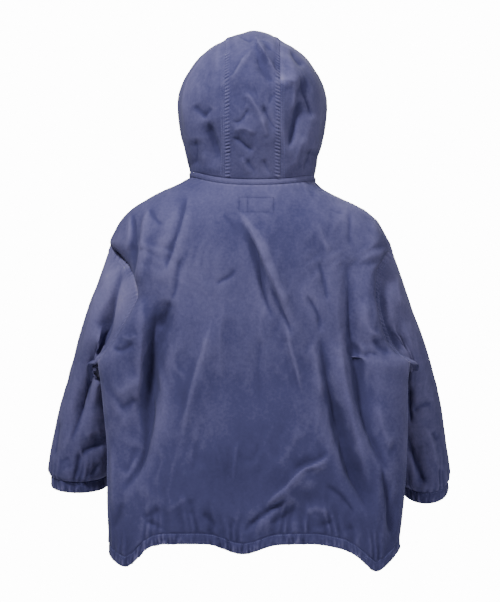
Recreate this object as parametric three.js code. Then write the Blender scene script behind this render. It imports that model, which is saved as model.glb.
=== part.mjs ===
// A hooded anorak pullover in cotton twill, in its worn, filled-out shape with nobody in it.
// Millimetres. +Z is up, +Y is the way the wearer faces, +X is the wearer's right.
// The origin is the centre of the neck opening, level with the seam at the nape.
//
// Every piece of cloth is a wall made from a grid of points. Seen from outside, the rows run
// down the piece and the columns run to the right. Neighbours share the points of their seam,
// lean their edges there by the same offset and draw back from it by half a seam gap each.
import * as THREE from "three";

// Driving dimensions
const WALL = 2.0; // twill with its seam allowances
const CASING_WALL = 3.0; // hem, cuffs and hood edge, which are folded double
const SEAM_GAP = 0.3;
const HEM_BAND = 21;
const CUFF_BAND = 22;
const CUFF_LEAN = 2; // the cuffs lean forward by this much
const NECK_BAND = 10;
const HOOD_HEM = 22;
const HOOD_STRIP = 106; // width of the hood's middle panel
const NAPE = { y: -88, half: 123 }; // back of the neck seam, and its half width
const CHIN = { y: 97, z: -76 }; // the front of the neck seam
const NECK_RISE = { left: 24, right: 15 }; // the seam climbs this much over the shoulders
const SHOULDER_ANGLE = 95; // degrees round the neck from the nape to the shoulder seams
const CHIN_ANGLE = 168; // and to the front edges of the hood
const HEM_ANGLE = 177; // and to the front of the hood's hem
const SHOULDER_END = -112;
const UNDERARM = -341;
const PANEL_END = -668;
const GATHER = 2.6; // depth of the gathers of hem and cuffs
const EDGE_FADE = 34; // folds die away over this distance from a seam
const FOLD_ENDS = 0.3; // and over this share of their length at each end
const CLOTH_COLOUR = 0x4b5080;

// Grid sizes
const STRIP_COLUMNS = 8;
const HOOD_SIDE_COLUMNS = 12;
const HOOD_ROWS = 14;
const SHOULDER_ROWS = 6;
const ARMHOLE_ROWS = 11;
const SIDE_ROWS = 10;
const SLEEVE_ROWS = 15;
const SPLIT = 3; // columns of a gathered casing for each column of its panel

const vec = (x, y, z) => new THREE.Vector3(x, y, z);
const mix = (a, b, s) => a + (b - a) * s;
const steps = (n) => Array.from({ length: n + 1 }, (_, i) => i / n);
const radians = (degrees) => (degrees * Math.PI) / 180;
const fade = (s) => {
  const c = Math.min(1, Math.max(0, s));
  return c * c * (3 - 2 * c);
};

// A table with named columns, read at any place along its first column by a curve
// through the rows that never overshoots them.
function table(names, rows) {
  const at = rows.map((r) => r[0]);
  const columns = {};
  names.slice(1).forEach((name, c) => {
    const v = rows.map((r) => r[c + 1]);
    columns[name] = { v, slope: slopes(at, v) };
  });
  return (name, x) => between(at, columns[name], x);
}

function slopes(at, v) {
  const chord = at.slice(1).map((x, i) => (v[i + 1] - v[i]) / (x - at[i]));
  const inner = chord.slice(1).map((after, i) => {
    const before = chord[i];
    return before * after > 0 ? (2 * before * after) / (before + after) : 0;
  });
  return [chord[0], ...inner, chord.at(-1)];
}

function between(at, { v, slope }, x) {
  const rising = at.at(-1) > at[0];
  let i = 0;
  while (i < at.length - 2 && (rising ? x > at[i + 1] : x < at[i + 1])) i++;
  const span = at[i + 1] - at[i];
  const s = Math.min(1, Math.max(0, (x - at[i]) / span));
  const start = v[i] * (1 + 2 * s) + slope[i] * span * s;
  const end = v[i + 1] * (3 - 2 * s) - slope[i + 1] * span * (1 - s);
  return start * (1 - s) ** 2 + end * s ** 2;
}

// The panels' edges, by height: the shoulder seams, the armholes, then the side seams.
// tuck is how far inside the back's edge the front's edge lies.
const edge = table(
  ["z", "left", "right", "back", "front", "tuck"],
  [
    [12, -122, 122, 13, 13, 0],
    [-8, -158, 147, 14, 14, 0],
    [-27, -205, 191, 15, 15, 0],
    [-47, -237, 225, 16, 16, 0],
    [-66, -255, 245, 16, 16, 0],
    [-86, -268, 256, 15, 15, 0],
    [-112, -278, 270, 15, 15, 0],
    [-130, -258, 259, -18, 46, 0],
    [-150, -240, 241, -46, 66, 0],
    [-178, -226, 236, -68, 80, 2],
    [-212, -218, 236, -80, 86, 4],
    [-250, -238, 243, -84, 80, 5],
    [-285, -258, 252, -80, 60, 5],
    [-310, -276, 265, -74, 28, 4],
    [-328, -290, 284, -67, -14, 2],
    [-341, -298, 303, -60, -60, 0],
    [-380, -292, 299, -60, -60, 0],
    [-440, -286, 299, -60, -60, 0],
    [-510, -280, 297, -60, -60, 0],
    [-600, -280, 292, -58, -58, 0],
    [-668, -277, 284, -54, -54, 0],
  ],
);

// How far back and forward the panels stand in the middle, and how square their sections are:
// 2 is round, more is boxy, less runs to a point at the side seams.
const middle = table(
  ["z", "back", "front", "backSquare", "frontSquare"],
  [
    [12, -88, 97, 2, 2],
    [-30, -106, 101, 2.2, 2],
    [-80, -121, 109, 2.4, 2],
    [-150, -131, 121, 2.5, 1.9],
    [-250, -134, 132, 2.5, 1.7],
    [-310, -133, 137, 2.4, 1.55],
    [-350, -132, 138, 2.3, 1.45],
    [-450, -136, 137, 2.2, 1.4],
    [-600, -141, 134, 2.2, 1.45],
    [-668, -140, 132, 2.2, 1.5],
  ],
);

// The lower edge of the garment, across the back and across the front.
const hemline = table(
  ["x", "back", "front"],
  [
    [-286, -699, -699],
    [-264, -722, -716],
    [-244, -731, -724],
    [-222, -717, -717],
    [-199, -691, -702],
    [-165, -684, -691],
    [-87, -683, -687],
    [-19, -702, -692],
    [49, -684, -685],
    [107, -683, -683],
    [175, -695, -690],
    [208, -716, -702],
    [235, -740, -721],
    [262, -722, -717],
    [286, -697, -697],
  ],
);

// The front's lower edge joins the back's at the side seams.
const SIDE_JOIN = { from: 210, to: 268 };
function lowerEdge(which, x) {
  const apart = 1 - fade((Math.abs(x) - SIDE_JOIN.from) / (SIDE_JOIN.to - SIDE_JOIN.from));
  return mix(hemline("back", x), hemline(which, x), apart);
}

// The hood's middle line from the nape over the crown to the face edge, and for the hoop that
// stands at each place: half its width, the height where it is widest, and its roundness there.
const hoodLine = table(
  ["t", "y", "z", "half", "wide", "round"],
  [
    [0, -88, 0, 122, 4, 1],
    [0.13, -106, 56, 124, 24, 1],
    [0.27, -122, 120, 128, 62, 1.05],
    [0.41, -122, 184, 133, 100, 1.15],
    [0.54, -96, 243, 138, 128, 1.25],
    [0.66, -50, 282, 143, 144, 1.3],
    [0.78, 4, 296, 146, 150, 1.32],
    [0.89, 58, 295, 148, 152, 1.34],
    [1, 108, 284, 147, 148, 1.34],
  ],
);

// The sleeves: the outer line down the silhouette, the inner line, the depth behind and in
// front of them, how much lower the back is, and how far the middle bows in and leans out.
const SLEEVE_COLUMNS = "t outX outY outZ inX inY inZ back front droop bow skew".split(" ");
const sleeveLines = {
  right: table(SLEEVE_COLUMNS, [
    [0, 270, 15, -112, 303, -60, -341, 62, 98, 0, 46, 0],
    [0.08, 284, 18, -153, 318, -24, -354, 60, 92, 2, 28, 0.15],
    [0.16, 299, 22, -195, 313, 2, -375, 60, 84, 4, 12, 0.3],
    [0.26, 315, 30, -240, 301, 24, -399, 62, 76, 6, 2, 0.35],
    [0.38, 336, 42, -296, 287, 42, -427, 64, 71, 8, 0, 0.3],
    [0.52, 357, 56, -366, 277, 56, -461, 65, 68, 10, 0, 0.2],
    [0.68, 376, 68, -448, 274, 68, -503, 65, 66, 14, 0, 0.1],
    [0.82, 386, 76, -517, 280, 76, -543, 64, 62, 19, 0, 0],
    [0.92, 391, 80, -556, 287, 80, -566, 60, 58, 24, 0, 0],
    [1, 389, 82, -573, 296, 82, -575, 54, 52, 25, 0, 0],
  ]),
  left: table(SLEEVE_COLUMNS, [
    [0, 278, 15, -112, 298, -60, -341, 62, 98, 0, 46, 0],
    [0.08, 292, 18, -153, 313, -24, -354, 60, 92, 2, 28, 0.15],
    [0.16, 307, 22, -195, 309, 2, -375, 60, 84, 4, 12, 0.3],
    [0.26, 322, 30, -240, 297, 24, -399, 62, 76, 6, 2, 0.35],
    [0.38, 341, 42, -296, 283, 42, -427, 64, 71, 8, 0, 0.3],
    [0.52, 362, 56, -366, 272, 56, -461, 65, 68, 10, 0, 0.2],
    [0.68, 385, 68, -448, 269, 68, -502, 65, 66, 11, 0, 0.1],
    [0.82, 401, 76, -517, 273, 76, -538, 64, 62, 12, 0, 0],
    [0.92, 405, 80, -552, 279, 80, -558, 60, 58, 13, 0, 0],
    [1, 400, 82, -566, 287, 82, -566, 54, 52, 12, 0, 0],
  ]),
};

// Large folds. Each is a curve through three places (x, z), seen square on, with a height
// (plus for a ridge, minus for a trough) and a width on each side of the line.
const FOLD_COLUMNS = "x1 z1 x2 z2 x3 z3 height widthL widthR".split(" ");
const foldRows = (rows) =>
  rows.map((r) => Object.fromEntries(FOLD_COLUMNS.map((name, i) => [name, r[i]])));

const FOLDS = {
  back: foldRows([
    [-128, -30, -160, -120, -180, -230, 7, 22, 30],
    [-168, -215, -190, -340, -250, -590, -20, 26, 22],
    [-30, -46, 42, -180, 96, -380, 8, 14, 24],
    [105, -80, 140, -200, 150, -360, -6, 24, 24],
    [188, -90, 196, -290, 250, -540, -14, 26, 22],
    [232, -60, 238, -150, 262, -300, 9, 18, 12],
    [140, -370, 180, -500, 240, -640, -13, 20, 22],
    [155, -520, 70, -588, -15, -668, 10, 14, 20],
    [262, -560, 266, -620, 268, -670, -9, 9, 12],
    [-64, -240, -100, -370, -135, -500, 5, 22, 22],
    [-205, -640, -160, -655, -110, -640, -8, 12, 16],
  ]),
  front: foldRows([
    [60, -130, 120, -260, 175, -430, 8, 20, 26],
    [-70, -120, -118, -280, -160, -470, -9, 22, 22],
    [150, -120, 172, -260, 190, -400, -8, 20, 22],
    [-160, -130, -178, -240, -196, -360, 8, 20, 20],
    [10, -300, 30, -450, 20, -620, 7, 26, 30],
    [-130, -480, -60, -580, 10, -650, -8, 18, 22],
    [120, -500, 170, -600, 190, -670, -8, 18, 18],
  ]),
  sleeve_right: foldRows([
    [284, -200, 304, -300, 322, -400, -8, 22, 18],
    [304, -480, 322, -535, 344, -590, -7, 16, 16],
  ]),
  sleeve_left: foldRows([
    [-262, -150, -306, -330, -360, -520, -9, 16, 22],
    [-330, -510, -306, -500, -280, -490, -7, 16, 18],
  ]),
  hood: foldRows([
    [3, 300, 22, 250, 82, 200, -9, 16, 20],
    [22, 296, 50, 248, 92, 190, 6, 16, 14],
    [-84, 125, -72, 80, -60, 34, -8, 16, 18],
    [94, 170, 82, 120, 68, 64, -8, 16, 18],
  ]),
};

// The curve through a fold's three places.
function onFold(f, s) {
  const [a, b, c] = [(1 - s) * (1 - 2 * s), 4 * s * (1 - s), s * (2 * s - 1)];
  return { x: a * f.x1 + b * f.x2 + c * f.x3, z: a * f.z1 + b * f.z2 + c * f.z3 };
}

// How far a fold moves the cloth at a place (x, z).
const FOLD_PIECES = 10;
function foldHeight(fold, x, z) {
  let best = { d: Infinity, side: 1, along: 0 };
  for (let i = 0; i < FOLD_PIECES; i++) {
    const a = onFold(fold, i / FOLD_PIECES);
    const b = onFold(fold, (i + 1) / FOLD_PIECES);
    const [dx, dz] = [b.x - a.x, b.z - a.z];
    const share = ((x - a.x) * dx + (z - a.z) * dz) / (dx * dx + dz * dz);
    const s = Math.min(1, Math.max(0, share));
    const [ex, ez] = [x - a.x - s * dx, z - a.z - s * dz];
    const d = Math.hypot(ex, ez);
    if (d < best.d) best = { d, side: dx * ez - dz * ex, along: (i + s) / FOLD_PIECES };
  }
  const width = best.side > 0 ? fold.widthR : fold.widthL;
  const ends = fade(best.along / FOLD_ENDS) * fade((1 - best.along) / FOLD_ENDS);
  return fold.height * ends * Math.exp(-((best.d / width) ** 2));
}

// The outward normal at each point of a grid: the mean of the faces that meet there.
function normals(grid, round) {
  const columns = grid[0].length;
  const out = grid.map((row) => row.map(() => vec(0, 0, 0)));
  for (let i = 0; i < grid.length - 1; i++) {
    for (let j = 0; j < (round ? columns : columns - 1); j++) {
      const k = (j + 1) % columns;
      const across = grid[i][k].clone().sub(grid[i + 1][j]);
      const face = grid[i + 1][k].clone().sub(grid[i][j]).cross(across);
      for (const n of [out[i][j], out[i + 1][j], out[i][k], out[i + 1][k]]) n.add(face);
    }
  }
  return out.map((row) => row.map((n) => n.normalize()));
}

// Moves the cloth out and in by its folds, and leaves its seams where they are.
function folded(grid, folds, round = false) {
  const out = normals(grid, round);
  const bottom = grid.length - 1;
  return grid.map((row, i) =>
    row.map((p, j) => {
      const sides = round ? [] : [row[0], row.at(-1)];
      const seams = [grid[0][j], grid[bottom][j], ...sides].map((q) => p.distanceTo(q));
      const height = folds.reduce((sum, f) => sum + foldHeight(f, p.x, p.z), 0);
      return p.clone().addScaledVector(out[i][j], height * fade(Math.min(...seams) / EDGE_FADE));
    }),
  );
}

// The neck seam, at an angle in degrees round it from the nape, minus to the left.
const NAPE_SQUARE = 0.1; // how much wider than an ellipse the neck is between nape and shoulders
function onNeck(degrees, lift = 0) {
  const a = radians(Math.abs(degrees));
  const round = (1 - Math.cos(a)) / 2;
  const rise = degrees < 0 ? NECK_RISE.left : NECK_RISE.right;
  const x = Math.sign(degrees) * NAPE.half * Math.sin(a) * (1 + NAPE_SQUARE * Math.cos(a) ** 2);
  const z = CHIN.z * round ** 3 + rise * Math.sin(Math.PI * round);
  return vec(x, mix(NAPE.y, CHIN.y, round), z + lift);
}

// The smallest s from 0 to 1 at which a rising function reaches a value.
const HALVINGS = 40;
function reach(value, rising) {
  let [low, high] = [0, 1];
  for (let k = 0; k < HALVINGS; k++) {
    const s = (low + high) / 2;
    if (rising(s) < value) low = s;
    else high = s;
  }
  return low;
}

const STRIP_ANGLE = 90 * reach(HOOD_STRIP / 2, (s) => onNeck(90 * s).x);
const footAngle = (t) => mix(SHOULDER_ANGLE, CHIN_ANGLE, t);
const archAngle = (u) => mix(STRIP_ANGLE, SHOULDER_ANGLE, u);

// The angles of the neck seam's points, round from the left front edge of the hood's hem.
const SIDE_ANGLES = [
  ...steps(HOOD_SIDE_COLUMNS).map(archAngle),
  ...steps(HOOD_ROWS).slice(1).map(footAngle),
  HEM_ANGLE,
];
const STRIP_ANGLES = steps(STRIP_COLUMNS).slice(1, -1).map((s) => STRIP_ANGLE * (2 * s - 1));
const NECK_ANGLES = [...SIDE_ANGLES.toReversed().map((a) => -a), ...STRIP_ANGLES, ...SIDE_ANGLES];
const NECK = NECK_ANGLES.map((a) => onNeck(a));
const LEFT_POINT = HOOD_ROWS + 1; // index of the left neck point, where the shoulder seam starts
const RIGHT_POINT = NECK.length - 1 - LEFT_POINT;

const HOOD_TAPER = 2; // how fast a hoop narrows below its widest place

// A place on the hood: t along its middle line from the nape to the face edge, u from 0 on the
// middle line down the hoop to 1 at its foot on the neck band. side is -1 or 1.
function onHoop(t, u, side) {
  const line = (name) => hoodLine(name, t);
  const foot = onNeck(side * footAngle(t));
  const [top, wide, half] = [line("z"), line("wide"), line("half")];
  const a = Math.PI * u;
  const upper = a <= Math.PI / 2;
  const spread = Math.sin(a) ** line("round");
  const x = upper ? half * spread : mix(Math.abs(foot.x), half, Math.sin(a) ** HOOD_TAPER);
  const z = upper ? mix(wide, top, Math.cos(a)) : mix(wide, foot.z, -Math.cos(a));
  return vec(side * x, mix(line("y"), foot.y, (1 - Math.cos(a)) / 2), z + NECK_BAND);
}

// How far down a hoop the middle panel reaches.
const stripEdge = (t) => 0.5 * reach(HOOD_STRIP / 2, (s) => onHoop(t, s / 2, 1).x);

// The hood follows the neck band over this share of its way from the nape to the face.
const NEAR_BAND = 0.4;

// The hood's side at step v from the middle panel's edge to the foot. Its first hoop lies
// along the neck band, and the next ones come away from it step by step.
function onHoodSide(t, v, side) {
  const place = (at) => onHoop(at, mix(stripEdge(at), 1, v), side);
  const band = onNeck(side * archAngle(v), NECK_BAND);
  const near = 1 - fade(t / NEAR_BAND);
  return place(t).addScaledVector(band.sub(place(0)), near);
}

function onHoodStrip(t, v) {
  const side = v < 0 ? -1 : 1;
  const place = (at) => onHoop(at, stripEdge(at) * Math.abs(v), side);
  const band = onNeck(STRIP_ANGLE * v, NECK_BAND);
  const near = 1 - fade(t / NEAR_BAND);
  return place(t).addScaledVector(band.sub(place(0)), near);
}

const HOOPS = steps(HOOD_ROWS).toReversed();
const hoodStrip = HOOPS.map((t) => steps(STRIP_COLUMNS).map((s) => onHoodStrip(t, 2 * s - 1)));
const hoodRight = HOOPS.map((t) => steps(HOOD_SIDE_COLUMNS).map((v) => onHoodSide(t, v, 1)));
const hoodLeft = HOOPS.map((t) =>
  steps(HOOD_SIDE_COLUMNS).toReversed().map((v) => onHoodSide(t, v, -1)),
);

// The folded hem round the face: it carries on from the panels' front edges, and its ends
// stand on the neck band.
const HEM_END_CURVE = 6; // the higher, the shorter the stretch that turns towards the band
function hoodHem() {
  const joined = (row) => [...hoodLeft[row], ...hoodStrip[row].slice(1, -1), ...hoodRight[row]];
  const [face, behind] = [joined(0), joined(1)];
  const last = face.length - 1;
  const front = face.map((p, j) => {
    const side = j < last / 2 ? -1 : 1;
    const end = Math.abs((2 * j) / last - 1) ** HEM_END_CURVE;
    const onwards = p.clone().sub(behind[j]).normalize().multiplyScalar(HOOD_HEM);
    const toFoot = onNeck(side * HEM_ANGLE, NECK_BAND).sub(onNeck(side * CHIN_ANGLE, NECK_BAND));
    return p.clone().add(onwards.lerp(toFoot, end));
  });
  return [front, face];
}

// Heights of the panels' rows along their edges, from the neck point to the hem's seam.
const NECK_POINT = 12;
const FINER_AT_NECK = 1.2;
const ROW_HEIGHTS = [
  ...steps(SHOULDER_ROWS).map((s) => mix(NECK_POINT, SHOULDER_END, s ** FINER_AT_NECK)),
  ...steps(ARMHOLE_ROWS).slice(1).map((s) => mix(SHOULDER_END, UNDERARM, s)),
  ...steps(SIDE_ROWS).slice(1).map((s) => mix(UNDERARM, PANEL_END, s)),
];

// Even steps along a curve that is given by many points.
function evenly(points, count) {
  const along = [0];
  for (let k = 1; k < points.length; k++) {
    along.push(along[k - 1] + points[k].distanceTo(points[k - 1]));
  }
  let i = 1;
  return steps(count).map((s) => {
    const want = s * along.at(-1);
    while (i < points.length - 1 && along[i] < want) i++;
    return points[i - 1].clone().lerp(points[i], (want - along[i - 1]) / (along[i] - along[i - 1]));
  });
}

// One row of a panel, left to right, at the height z of its ends.
const ROW_SAMPLES = 160;
function panelRow(which, z, columns) {
  const tuck = which === "front" ? edge("tuck", z) : 0;
  const [left, right] = [edge("left", z) + tuck, edge("right", z) - tuck];
  const y = edge(which, z);
  const depth = middle(which, z) - y;
  const power = 2 / middle(`${which}Square`, z);
  const outline = steps(ROW_SAMPLES).map((s) => {
    const a = (s - 0.5) * Math.PI;
    const spread = Math.sign(a) * Math.abs(Math.sin(a)) ** power;
    return vec(mix(left, right, 0.5 + spread / 2), y + depth * Math.max(0, Math.cos(a)) ** power, z);
  });
  return evenly(outline, columns).map((p) => {
    const end = lowerEdge(which, p.x) + HEM_BAND;
    const share = Math.max(0, (UNDERARM - z) / (UNDERARM - PANEL_END)) ** 2;
    return p.setZ(mix(z, z + end - PANEL_END, share));
  });
}

// A body panel, left to right. Its first row lies on the neck seam, and the rows below come
// away from it step by step.
const NECK_REACH = 260;
function panel(which, neck) {
  const grid = ROW_HEIGHTS.map((z) => panelRow(which, z, neck.length - 1));
  const shift = neck.map((p, j) => p.clone().sub(grid[0][j]));
  const [last, side] = [neck.length - 1, SHOULDER_ROWS];
  return grid.map((row, i) =>
    row.map((p, j) => {
      const near = 1 - fade((NECK_POINT - ROW_HEIGHTS[i]) / NECK_REACH);
      const level = i > side ? 0 : 1;
      const share = j === 0 || j === last ? level * (1 - i / side) ** 3 : near;
      return p.addScaledVector(shift[j], i === 0 ? 1 : share);
    }),
  );
}

const backNeck = NECK.slice(LEFT_POINT, RIGHT_POINT + 1);
const frontNeck = [...NECK.slice(0, LEFT_POINT + 1).reverse(), ...NECK.slice(RIGHT_POINT).reverse()];
const back = panel("back", backNeck);
const front = panel("front", frontNeck).map((row) => row.reverse());

// A sleeve, ring by ring from the armhole. Its first ring is the armhole, and the next ones
// come away from it step by step. name is left or right.
function onSleeve(name, t, degrees) {
  const side = name === "left" ? -1 : 1;
  const a = radians(degrees);
  const line = (column) => sleeveLines[name](column, t);
  const outer = vec(side * line("outX"), line("outY"), line("outZ"));
  const inner = vec(side * line("inX"), line("inY"), line("inZ"));
  const [sine, cosine] = [Math.sin(a), Math.cos(a)];
  const deep = sine > 0 ? line("back") * (1 + line("skew") * cosine) : line("front");
  return outer
    .clone()
    .lerp(inner, (1 - cosine) / 2)
    .add(vec(-side * line("bow") * sine ** 2, -deep * sine, -line("droop") * sine));
}

const NEAR_ARMHOLE = { along: 0.4, across: 0.11 }; // how far its shape is kept down the sleeve
function sleeve(name) {
  const side = name === "left" ? -1 : 1;
  const column = (grid, right) => grid.map((row) => (right ? row.at(-1) : row[0]));
  const armhole = [SHOULDER_ROWS, SHOULDER_ROWS + ARMHOLE_ROWS + 1];
  const behind = column(back, side > 0).slice(...armhole);
  const before = column(front, side < 0).slice(...armhole);
  const loop = [...behind, ...before.slice(1, -1).reverse()];
  const ring = (t) => loop.map((_, j) => onSleeve(name, t, (360 * j) / loop.length));
  const first = ring(0);
  const grid = steps(SLEEVE_ROWS).map((t) => {
    const kept = (reach) => (1 - fade(t / reach)) ** 2;
    const [near, sideways] = [kept(NEAR_ARMHOLE.along), kept(NEAR_ARMHOLE.across)];
    return ring(t).map((p, j) => {
      const apart = loop[j].clone().sub(first[j]);
      return p.add(vec(apart.x * sideways, apart.y * near, apart.z * near));
    });
  });
  return side < 0 ? grid : grid.map((row) => [row[0], ...row.slice(1).reverse()]);
}

// A gathered casing that carries on from a row of points. Its upper edge lies on the row's
// own straight pieces, and its lower edge goes in and out with the gathers, one to a column of
// the panel. The gathers are uneven, and die away towards the ends.
const GATHER_SHAPE = [-0.2, 1, -0.8];
const GATHER_FADE = 4;
const UNEVEN = { share: 0.25, turn: 1.7 };
function casing(row, round, down) {
  const count = row.length;
  const top = [];
  for (let j = 0; j < (round ? count : count - 1); j++) {
    for (let k = 0; k < SPLIT; k++) top.push(row[j].clone().lerp(row[(j + 1) % count], k / SPLIT));
  }
  if (!round) top.push(row.at(-1).clone());
  const bottom = top.map((p, j) => p.clone().add(down(p, j)));
  const out = normals([top, bottom], round)[1];
  const last = top.length - 1;
  bottom.forEach((p, j) => {
    const ends = round ? 1 : fade(j / GATHER_FADE) * fade((last - j) / GATHER_FADE);
    const uneven = 1 - UNEVEN.share * (1 - Math.sin(UNEVEN.turn * Math.floor(j / SPLIT)));
    p.addScaledVector(out[j], GATHER * ends * uneven * GATHER_SHAPE[j % SPLIT]);
  });
  return [top, bottom];
}

// The hem's casing hangs down from the panel to the hemline.
const hemCasing = (which, grid) =>
  casing(grid.at(-1), false, (p) => vec(0, 0, lowerEdge(which, p.x) - p.z));

const cuffCasing = (grid) => casing(grid.at(-1), true, () => vec(0, CUFF_LEAN, -CUFF_BAND));

// The neck band is a ring that stands on the neck seam.
const neckBand = [NECK_ANGLES.map((a) => onNeck(a, NECK_BAND)), NECK.map((p) => p.clone())];

// A piece: its name, its grid, whether it is a tube, its wall, and how many of its columns
// lie on one straight piece of the seam above it.
const rightSleeve = sleeve("right");
const leftSleeve = sleeve("left");
const gathered = { wall: CASING_WALL, split: SPLIT };
const PIECES = [
  ["back_panel", folded(back, FOLDS.back), {}],
  ["front_panel", folded(front, FOLDS.front), {}],
  ["sleeve_left", folded(leftSleeve, FOLDS.sleeve_left, true), { round: true }],
  ["sleeve_right", folded(rightSleeve, FOLDS.sleeve_right, true), { round: true }],
  ["cuff_left", cuffCasing(leftSleeve), { round: true, ...gathered }],
  ["cuff_right", cuffCasing(rightSleeve), { round: true, ...gathered }],
  ["hem_back", hemCasing("back", back), gathered],
  ["hem_front", hemCasing("front", front), gathered],
  ["neck_band", neckBand, { round: true }],
  ["hood_centre", folded(hoodStrip, FOLDS.hood), {}],
  ["hood_side_left", folded(hoodLeft, FOLDS.hood), {}],
  ["hood_side_right", folded(hoodRight, FOLDS.hood), {}],
  ["hood_hem", hoodHem(), { wall: CASING_WALL }],
].map(([name, grid, how]) => ({ name, grid, round: false, wall: WALL, split: 1, ...how }));

// The offset from a seam's outer point to its inner one, for a wall of 1, that fits the walls
// of all the pieces that meet there.
const LEAN_LIMIT = 0.06; // keeps the offset short where the pieces meet at a sharp angle
function sharedOffset(outward) {
  const [m, sum] = [new THREE.Matrix3().set(0, 0, 0, 0, 0, 0, 0, 0, 0), vec(0, 0, 0)];
  for (const n of outward) {
    const v = n.toArray();
    v.forEach((a, i) => v.forEach((b, k) => (m.elements[3 * i + k] += a * b)));
    sum.sub(n);
  }
  for (const i of [0, 4, 8]) m.elements[i] += LEAN_LIMIT;
  return sum.applyMatrix3(m.invert());
}

// Finds the points that pieces share, and gives all the pieces one offset there.
const SEAM_MATCH = 0.02; // points closer than this are one point of a seam
const seamPlace = (p) => p.toArray().map((v) => Math.round(v / SEAM_MATCH));
const seamKey = (p) => seamPlace(p).join();
function isLower(p, q) {
  const [a, b] = [seamPlace(p), seamPlace(q)];
  const first = [2, 0, 1].find((i) => a[i] !== b[i]) ?? 0;
  return a[first] < b[first];
}

function sew(pieces) {
  const meeting = new Map();
  const isEnd = (i, list) => i === 0 || i === list.length - 1;
  const onRim = (p, i, j) => isEnd(i, p.grid) || (!p.round && isEnd(j, p.grid[0]));
  for (const p of pieces) {
    p.outward = normals(p.grid, p.round);
    p.inward = p.outward.map((row) => row.map((n) => n.clone().negate()));
    p.grid.forEach((row, i) =>
      row.forEach((q, j) => {
        if (!onRim(p, i, j)) return;
        const key = seamKey(q);
        if (!meeting.has(key)) meeting.set(key, []);
        meeting.get(key).push([p, i, j]);
      }),
    );
  }
  for (const places of meeting.values()) {
    const offset = sharedOffset(places.map(([p, i, j]) => p.outward[i][j]));
    if (places.length > 1) for (const [p, i, j] of places) p.inward[i][j] = offset.clone();
  }
  for (const p of pieces) spreadAlongTop(p);
}

// Between two shared points on a gathered piece's upper edge, the offset goes evenly from one
// to the other, as it does on the straight edge above.
function spreadAlongTop({ inward, split }) {
  const top = inward[0];
  for (let j = 0; j < top.length; j++) {
    const before = Math.floor(j / split) * split;
    const after = (before + split) % top.length;
    if (j > before) top[j] = top[before].clone().lerp(top[after], (j - before) / split);
  }
}

// The outer points of a piece, drawn back from its edges by half a seam gap.
function drawnBack({ grid, round, outward }) {
  const [bottom, right] = [grid.length - 1, grid[0].length - 1];
  const columns = grid[0].length;
  return grid.map((row, i) =>
    row.map((p, j) => {
      const q = p.clone();
      const before = round ? (j + columns - 1) % columns : Math.max(0, j - 1);
      const after = round ? (j + 1) % columns : Math.min(right, j + 1);
      const across = row[after].clone().sub(row[before]);
      const down = grid[Math.min(bottom, i + 1)][j].clone().sub(grid[Math.max(0, i - 1)][j]);
      const move = (way, sign) => q.addScaledVector(way.normalize(), (sign * SEAM_GAP) / 2);
      if (i === 0) move(across.clone().cross(outward[i][j]), 1);
      if (i === bottom) move(across.clone().cross(outward[i][j]), -1);
      if (!round && j === 0) move(outward[i][j].clone().cross(down), 1);
      if (!round && j === right) move(outward[i][j].clone().cross(down), -1);
      return q;
    }),
  );
}

// Builds the closed wall of a piece as a mesh.
function cloth(p) {
  const [rows, columns] = [p.grid.length, p.grid[0].length];
  const outer = drawnBack(p);
  const inner = outer.map((row, i) =>
    row.map((q, j) => q.clone().addScaledVector(p.inward[i][j], p.wall)),
  );
  const id = (layer, i, j) => (layer * rows + i) * columns + (j % columns);
  const faces = [];
  const quad = (a, b, c, d) => faces.push(a, b, c, a, c, d);
  // The rim's faces are cut across the same way in both pieces of a seam.
  const rim = (from, to) => {
    const corners = [id(0, ...from), id(0, ...to), id(1, ...to), id(1, ...from)];
    const [a, b] = [from, to].map(([i, j]) => p.grid[i][j % columns]);
    quad(...(isLower(a, b) ? corners : [...corners.slice(1), corners[0]]));
  };
  const last = p.round ? columns : columns - 1;
  for (let i = 0; i < rows - 1; i++) {
    for (let j = 0; j < last; j++) {
      quad(id(0, i, j), id(0, i + 1, j), id(0, i + 1, j + 1), id(0, i, j + 1));
      quad(id(1, i, j), id(1, i, j + 1), id(1, i + 1, j + 1), id(1, i + 1, j));
    }
    if (p.round) continue;
    rim([i + 1, 0], [i, 0]);
    rim([i, last], [i + 1, last]);
  }
  for (let j = 0; j < last; j++) {
    rim([0, j], [0, j + 1]);
    rim([rows - 1, j + 1], [rows - 1, j]);
  }
  const geometry = new THREE.BufferGeometry();
  const places = [outer, inner].flat(2).flatMap((q) => q.toArray());
  geometry.setAttribute("position", new THREE.Float32BufferAttribute(places, 3));
  geometry.setIndex(faces);
  geometry.computeVertexNormals();
  const twill = new THREE.MeshStandardMaterial({ color: CLOTH_COLOUR, roughness: 0.9, metalness: 0 });
  const mesh = new THREE.Mesh(geometry, twill);
  mesh.name = p.name;
  return mesh;
}

const anorak = new THREE.Group();
sew(PIECES);
for (const p of PIECES) anorak.add(cloth(p));

export default anorak;
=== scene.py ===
"""A faded navy hooded anorak pullover in garment-dyed cotton twill, hollow and filled out as worn.

Metres, +Z up, +Y the way the wearer faces. Each cut piece is a thin shell made on the outer face
of its own solid: the solid's grid of points is read, drawn as a smooth surface, creased, puckered
along its seams and given its thickness. Thread is added as separate stitches.
"""

import math

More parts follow.
